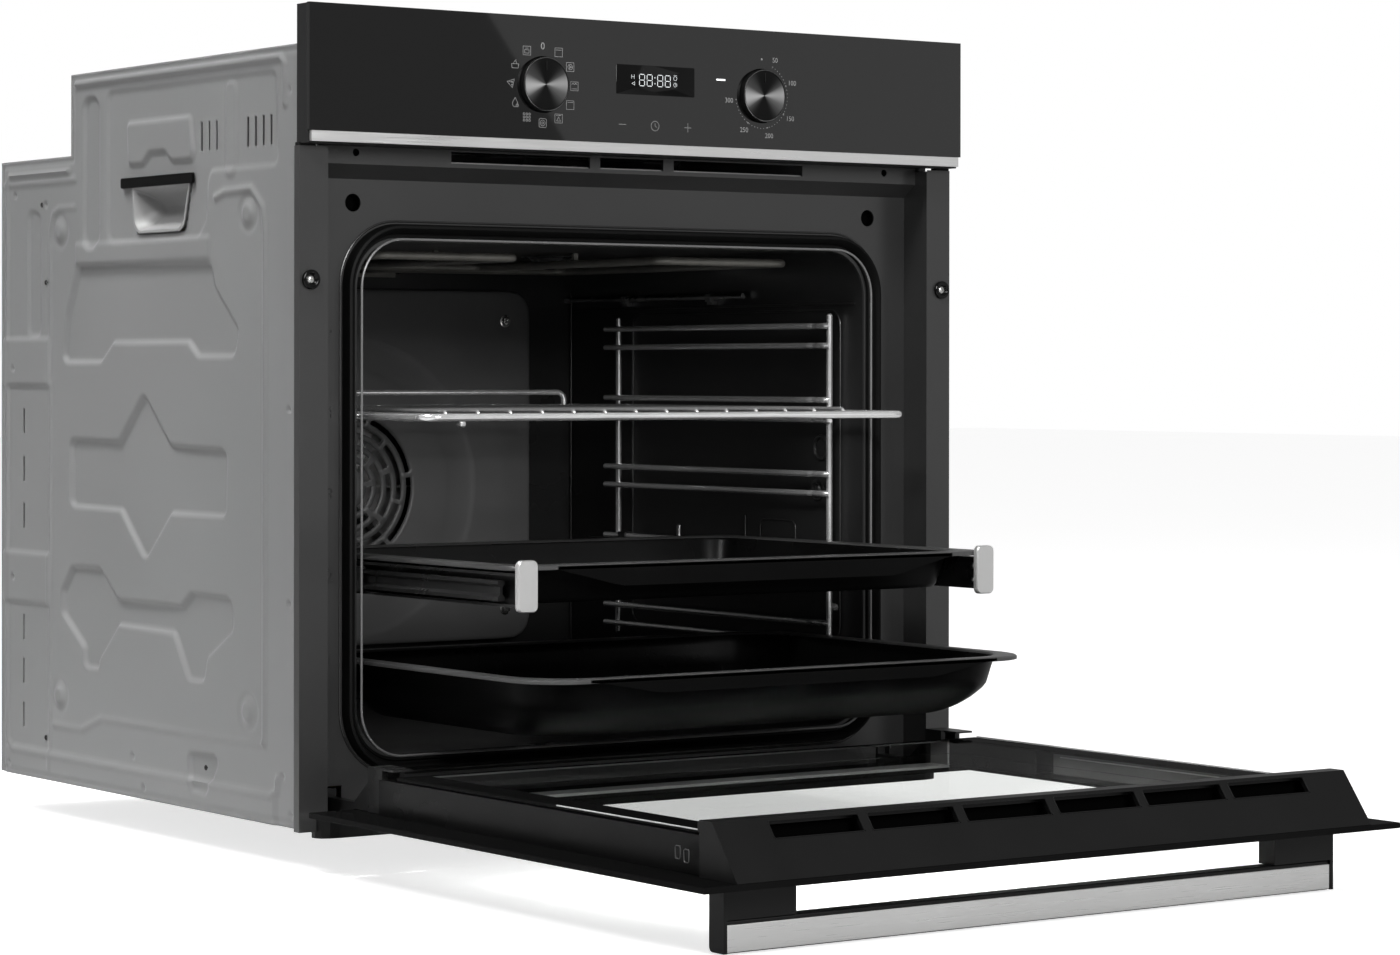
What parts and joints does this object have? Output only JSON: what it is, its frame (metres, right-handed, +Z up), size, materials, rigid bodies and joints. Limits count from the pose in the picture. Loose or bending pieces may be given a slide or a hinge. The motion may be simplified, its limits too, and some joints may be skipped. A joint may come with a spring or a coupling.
{
  "type": "built-in wall oven",
  "caption": "Built-in wall oven with drop-down glass door shown open, wire rack, tray on telescopic rails, deep pan and retractable knobs.",
  "frame": {"origin": "mid-width and mid-depth of the carcass underside", "axes": "+X to the right seen from the front, +Y to the back, +Z up"},
  "size_m": [0.5952, 0.9979, 0.6162],
  "materials": {
    "galvanised": "dull zinc coated sheet",
    "black_plastic": "fine matt",
    "black_enamel": "satin black",
    "grey_enamel": "vitreous enamel, dark grey",
    "seal": "matt",
    "insulation": "mineral fibre blanket",
    "element": "heat darkened",
    "wire": "bright wire",
    "rail": "plain drawn steel",
    "brushed": "brushed",
    "fan": "plain sheet",
    "lens": "clear",
    "ceramic": "glazed",
    "black_glass": "black glass, polished",
    "door_glass": "tinted pane",
    "knob": "satin black"
  },
  "bodies": {
    "oven": {"air_duct": "galvanised", "base_panel": "galvanised", "bottom_element": "element", "cavity_back": "grey_enamel", "cavity_shell": "grey_enamel", "cooling_fan_motor": "galvanised", "display_board": "black_plastic", "door_gasket": "seal", "fan_cover": "grey_enamel", "fan_motor": "galvanised", "fixing_bushes": "black_enamel", "front_frame": "black_enamel", "function_switch": "black_plastic", "grill_element": "element", "grip_inserts": "black_plastic", "hinge_arms": "rail", "insulation_blanket": "insulation", "lamp_holder": "ceramic", "lamp_lens": "lens", "lower_trim": "black_enamel", "panel_glass": "black_glass", "panel_housing": "black_plastic", "panel_trim_strip": "black_glass", "rail_fixed_left": "rail", "rail_fixed_right": "rail", "rear_panel": "galvanised", "ring_element": "element", "side_panel_left": "galvanised", "side_panel_right": "galvanised", "side_rack_left": "wire", "side_rack_right": "wire", "terminal_box": "black_plastic", "thermostat_probe": "wire", "thermostat_switch": "black_plastic", "top_cover": "galvanised"},
    "door": {"door_bottom_profile": "galvanised", "door_inner_glass": "door_glass", "door_middle_glass": "door_glass", "door_outer_glass": "door_glass", "door_side_profile_left": "black_enamel", "door_side_profile_right": "black_enamel", "door_vent_trim": "black_plastic", "handle_bar": "black_enamel", "handle_plate": "brushed", "handle_posts": "black_enamel", "hinge_cases": "rail"},
    "wire_rack_body": {"wire_rack": "wire"},
    "rail_middles": {"rail_middle_left": "wire", "rail_middle_right": "wire"},
    "tray_carriage": {"rail_inner_left": "rail", "rail_inner_right": "rail", "rail_end_caps": "brushed", "shallow_tray": "grey_enamel"},
    "deep_pan_body": {"deep_pan": "grey_enamel"},
    "function_spindle_body": {"function_spindle": "wire"},
    "function_knob_body": {"function_knob": "knob"},
    "thermostat_spindle_body": {"thermostat_spindle": "wire"},
    "thermostat_knob_body": {"thermostat_knob": "knob"},
    "convection_fan_body": {"convection_fan": "fan"},
    "blower_rotor_body": {"cooling_fan_rotor": "fan"}
  },
  "joints": [
    {"name": "door_hinge", "type": "hinge", "parent": "oven", "child": "door", "pos_m": [0, -0.2726, 0.0162], "axis": [-1, 0, 0], "range_deg": [0, 90]},
    {"name": "wire_rack_slide", "type": "slide", "parent": "oven", "child": "wire_rack_body", "axis": [0, 1, 0], "range_m": [0, 0.0702]},
    {"name": "rail_middle_slide", "type": "slide", "parent": "oven", "child": "rail_middles", "axis": [0, 1, 0], "range_m": [0, 0.1785]},
    {"name": "tray_slide", "type": "slide", "parent": "rail_middles", "child": "tray_carriage", "axis": [0, 1, 0], "range_m": [-0.1, 0]},
    {"name": "deep_pan_slide", "type": "slide", "parent": "oven", "child": "deep_pan_body", "axis": [0, 1, 0], "range_m": [0, 0.2965]},
    {"name": "function_turn", "type": "hinge", "parent": "oven", "child": "function_spindle_body", "pos_m": [-0.1, -0.275, 0.5374], "axis": [0, 1, 0], "continuous": true},
    {"name": "function_push", "type": "slide", "parent": "function_spindle_body", "child": "function_knob_body", "axis": [0, -1, 0], "range_m": [0, 0.012]},
    {"name": "thermostat_turn", "type": "hinge", "parent": "oven", "child": "thermostat_spindle_body", "pos_m": [0.1, -0.275, 0.5374], "axis": [0, 1, 0], "range_deg": [0, 261]},
    {"name": "thermostat_push", "type": "slide", "parent": "thermostat_spindle_body", "child": "thermostat_knob_body", "axis": [0, -1, 0], "range_m": [0, 0.012]},
    {"name": "convection_fan_spin", "type": "hinge", "parent": "oven", "child": "convection_fan_body", "pos_m": [0, 0.189, 0.229], "axis": [0, 1, 0], "continuous": true},
    {"name": "blower_spin", "type": "hinge", "parent": "oven", "child": "blower_rotor_body", "pos_m": [0, -0.077, 0.508], "axis": [1, 0, 0], "continuous": true}
  ],
  "couplings": [
    {"joint": "wire_rack_slide", "follows": "door_hinge", "m_per_rad": 0.044563},
    {"joint": "rail_middle_slide", "follows": "door_hinge", "m_per_rad": 0.11332},
    {"joint": "deep_pan_slide", "follows": "door_hinge", "m_per_rad": 0.18844}
  ]
}
